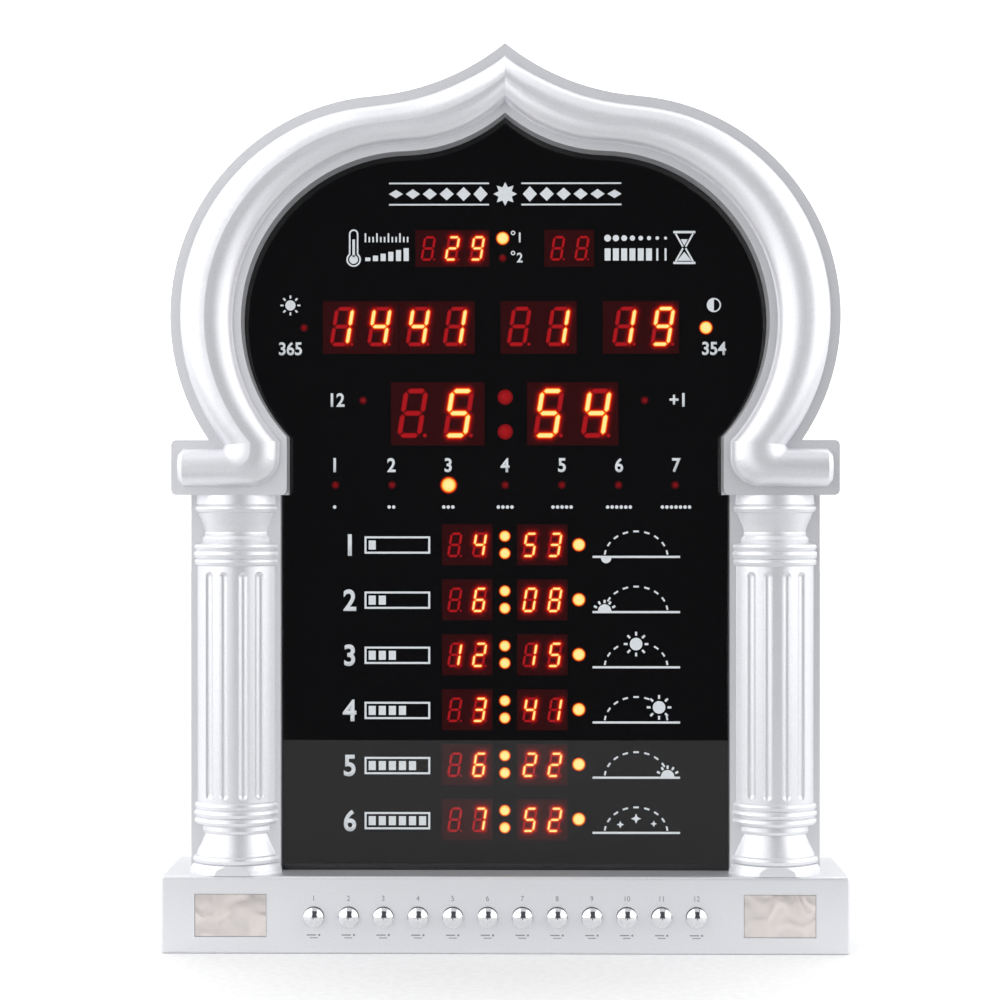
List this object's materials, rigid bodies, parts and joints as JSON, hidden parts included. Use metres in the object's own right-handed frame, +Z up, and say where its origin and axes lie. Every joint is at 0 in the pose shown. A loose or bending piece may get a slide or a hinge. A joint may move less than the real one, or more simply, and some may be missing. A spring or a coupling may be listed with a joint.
{
  "type": "azan clock",
  "caption": "Wall or table prayer-time clock with a pointed horseshoe arch, fluted half columns, a dark window over LED digits and a row of push buttons in its base.",
  "frame": {"origin": "bottom centre of the whole clock, on the surface that it stands on", "axes": "+Z up, the front faces -Y, +X to the viewer's right"},
  "size_m": [0.345, 0.06, 0.456],
  "materials": {
    "silver_plastic": "satin silver paint on moulded ABS",
    "inlay_foil": "mirror foil on plastic",
    "chrome_plastic": "bright chrome plating on ABS",
    "tinted_acrylic": "polished dark tint",
    "foam_tape": "black foam",
    "grey_plastic": "fine moulded texture",
    "circuit_board": "solder mask on glass epoxy",
    "display_red": "dark red diffusing face",
    "led_epoxy": "red epoxy",
    "chip_black": "moulded black",
    "cell_steel": "brushed",
    "screw_steel": "zinc plated",
    "speaker_steel": "black coated",
    "ferrite": "sintered",
    "paper_cone": "pressed paper",
    "ribbon_vinyl": "flat grey vinyl"
  },
  "bodies": {
    "housing": {"arch_frame": "silver_plastic", "arch_frame_screws": "screw_steel", "base_housing": "silver_plastic", "base_joint_screws": "screw_steel", "board_header": "chip_black", "button_board": "circuit_board", "button_board_screws": "screw_steel", "button_switches": "chip_black", "cell_holder": "chip_black", "coin_cell": "cell_steel", "colon_leds": "led_epoxy", "column_screws": "screw_steel", "control_board": "circuit_board", "control_board_screws": "screw_steel", "control_chips": "chip_black", "day_display": "display_red", "dc_jack": "chip_black", "display_board": "circuit_board", "display_board_screws": "screw_steel", "driver_chips": "chip_black", "front_housing": "silver_plastic", "front_window": "tinted_acrylic", "hour_display": "display_red", "indicator_leds": "led_epoxy", "interval_display": "display_red", "left_column": "silver_plastic", "left_inlay_plate": "inlay_foil", "minute_display": "display_red", "month_display": "display_red", "rear_cover": "grey_plastic", "rear_cover_screws": "screw_steel", "ribbon_cable": "ribbon_vinyl", "right_column": "silver_plastic", "right_inlay_plate": "inlay_foil", "row_1_display": "display_red", "row_2_display": "display_red", "row_3_display": "display_red", "row_4_display": "display_red", "row_5_display": "display_red", "row_6_display": "display_red", "speaker_cone": "paper_cone", "speaker_frame": "speaker_steel", "speaker_magnet": "ferrite", "speaker_screws": "screw_steel", "temperature_display": "display_red", "window_tape": "foam_tape", "year_display": "display_red"},
    "button_01": {"button_01": "chrome_plastic"},
    "button_02": {"button_02": "chrome_plastic"},
    "button_03": {"button_03": "chrome_plastic"},
    "button_04": {"button_04": "chrome_plastic"},
    "button_05": {"button_05": "chrome_plastic"},
    "button_06": {"button_06": "chrome_plastic"},
    "button_07": {"button_07": "chrome_plastic"},
    "button_08": {"button_08": "chrome_plastic"},
    "button_09": {"button_09": "chrome_plastic"},
    "button_10": {"button_10": "chrome_plastic"},
    "button_11": {"button_11": "chrome_plastic"},
    "button_12": {"button_12": "chrome_plastic"}
  },
  "joints": [
    {"name": "button_01_press", "type": "slide", "parent": "housing", "child": "button_01", "axis": [0, 1, 0], "range_m": [0, 0.001], "stiffness_N_per_m": 1200, "springref_m": -0.0003},
    {"name": "button_02_press", "type": "slide", "parent": "housing", "child": "button_02", "axis": [0, 1, 0], "range_m": [0, 0.001], "stiffness_N_per_m": 1200, "springref_m": -0.0003},
    {"name": "button_03_press", "type": "slide", "parent": "housing", "child": "button_03", "axis": [0, 1, 0], "range_m": [0, 0.001], "stiffness_N_per_m": 1200, "springref_m": -0.0003},
    {"name": "button_04_press", "type": "slide", "parent": "housing", "child": "button_04", "axis": [0, 1, 0], "range_m": [0, 0.001], "stiffness_N_per_m": 1200, "springref_m": -0.0003},
    {"name": "button_05_press", "type": "slide", "parent": "housing", "child": "button_05", "axis": [0, 1, 0], "range_m": [0, 0.001], "stiffness_N_per_m": 1200, "springref_m": -0.0003},
    {"name": "button_06_press", "type": "slide", "parent": "housing", "child": "button_06", "axis": [0, 1, 0], "range_m": [0, 0.001], "stiffness_N_per_m": 1200, "springref_m": -0.0003},
    {"name": "button_07_press", "type": "slide", "parent": "housing", "child": "button_07", "axis": [0, 1, 0], "range_m": [0, 0.001], "stiffness_N_per_m": 1200, "springref_m": -0.0003},
    {"name": "button_08_press", "type": "slide", "parent": "housing", "child": "button_08", "axis": [0, 1, 0], "range_m": [0, 0.001], "stiffness_N_per_m": 1200, "springref_m": -0.0003},
    {"name": "button_09_press", "type": "slide", "parent": "housing", "child": "button_09", "axis": [0, 1, 0], "range_m": [0, 0.001], "stiffness_N_per_m": 1200, "springref_m": -0.0003},
    {"name": "button_10_press", "type": "slide", "parent": "housing", "child": "button_10", "axis": [0, 1, 0], "range_m": [0, 0.001], "stiffness_N_per_m": 1200, "springref_m": -0.0003},
    {"name": "button_11_press", "type": "slide", "parent": "housing", "child": "button_11", "axis": [0, 1, 0], "range_m": [0, 0.001], "stiffness_N_per_m": 1200, "springref_m": -0.0003},
    {"name": "button_12_press", "type": "slide", "parent": "housing", "child": "button_12", "axis": [0, 1, 0], "range_m": [0, 0.001], "stiffness_N_per_m": 1200, "springref_m": -0.0003}
  ]
}
